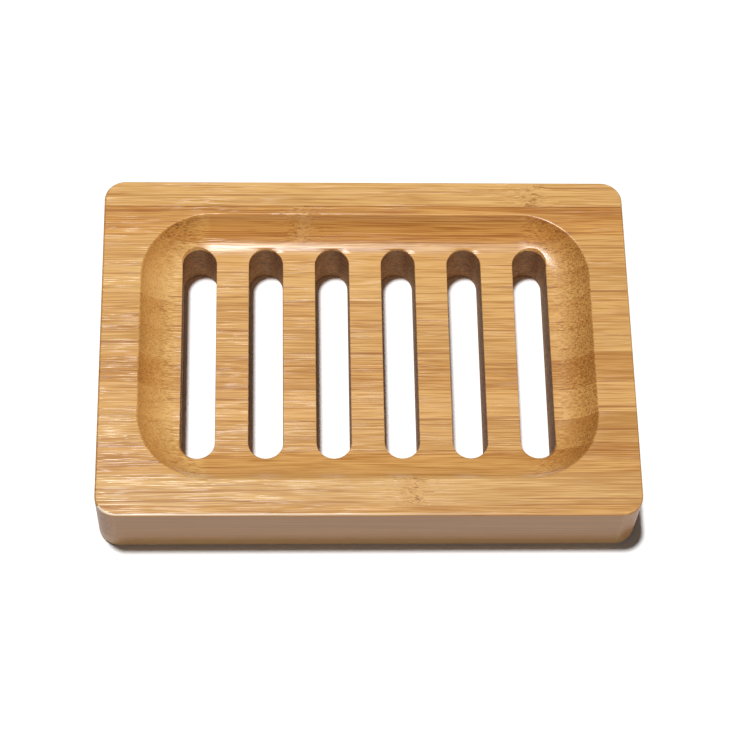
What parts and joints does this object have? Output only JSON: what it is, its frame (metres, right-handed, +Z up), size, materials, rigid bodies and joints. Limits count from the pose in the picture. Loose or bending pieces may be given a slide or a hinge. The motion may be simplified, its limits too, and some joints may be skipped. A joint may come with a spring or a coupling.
{
  "type": "soap dish",
  "caption": "Rectangular laminated bamboo soap dish with a shallow coved recess and round-ended drain slots through its floor.",
  "frame": {"origin": "middle of the underside, on the surface that the dish stands on", "axes": "+X along the strips, the long way; +Y to the back, across the strips; +Z up, out of the recess"},
  "size_m": [0.12, 0.084, 0.017],
  "materials": {
    "bamboo_pale": "pale bamboo under satin lacquer",
    "bamboo_honey": "honey bamboo under satin lacquer",
    "bamboo_amber": "amber bamboo under satin lacquer"
  },
  "bodies": {
    "root": {"strip_01": "bamboo_honey", "strip_02": "bamboo_honey", "strip_03": "bamboo_amber", "strip_04_left_end": "bamboo_pale", "strip_04_rib_1": "bamboo_pale", "strip_04_rib_2": "bamboo_pale", "strip_04_rib_3": "bamboo_pale", "strip_04_rib_4": "bamboo_pale", "strip_04_rib_5": "bamboo_pale", "strip_04_right_end": "bamboo_pale", "strip_05_left_end": "bamboo_honey", "strip_05_rib_1": "bamboo_honey", "strip_05_rib_2": "bamboo_honey", "strip_05_rib_3": "bamboo_honey", "strip_05_rib_4": "bamboo_honey", "strip_05_rib_5": "bamboo_honey", "strip_05_right_end": "bamboo_honey", "strip_06_left_end": "bamboo_amber", "strip_06_rib_1": "bamboo_amber", "strip_06_rib_2": "bamboo_amber", "strip_06_rib_3": "bamboo_amber", "strip_06_rib_4": "bamboo_amber", "strip_06_rib_5": "bamboo_amber", "strip_06_right_end": "bamboo_amber", "strip_07_left_end": "bamboo_pale", "strip_07_rib_1": "bamboo_pale", "strip_07_rib_2": "bamboo_pale", "strip_07_rib_3": "bamboo_pale", "strip_07_rib_4": "bamboo_pale", "strip_07_rib_5": "bamboo_pale", "strip_07_right_end": "bamboo_pale", "strip_08_left_end": "bamboo_honey", "strip_08_rib_1": "bamboo_honey", "strip_08_rib_2": "bamboo_honey", "strip_08_rib_3": "bamboo_honey", "strip_08_rib_4": "bamboo_honey", "strip_08_rib_5": "bamboo_honey", "strip_08_right_end": "bamboo_honey", "strip_09_left_end": "bamboo_honey", "strip_09_rib_1": "bamboo_honey", "strip_09_rib_2": "bamboo_honey", "strip_09_rib_3": "bamboo_honey", "strip_09_rib_4": "bamboo_honey", "strip_09_rib_5": "bamboo_honey", "strip_09_right_end": "bamboo_honey", "strip_10": "bamboo_honey", "strip_11": "bamboo_amber", "strip_12": "bamboo_pale"}
  },
  "joints": []
}
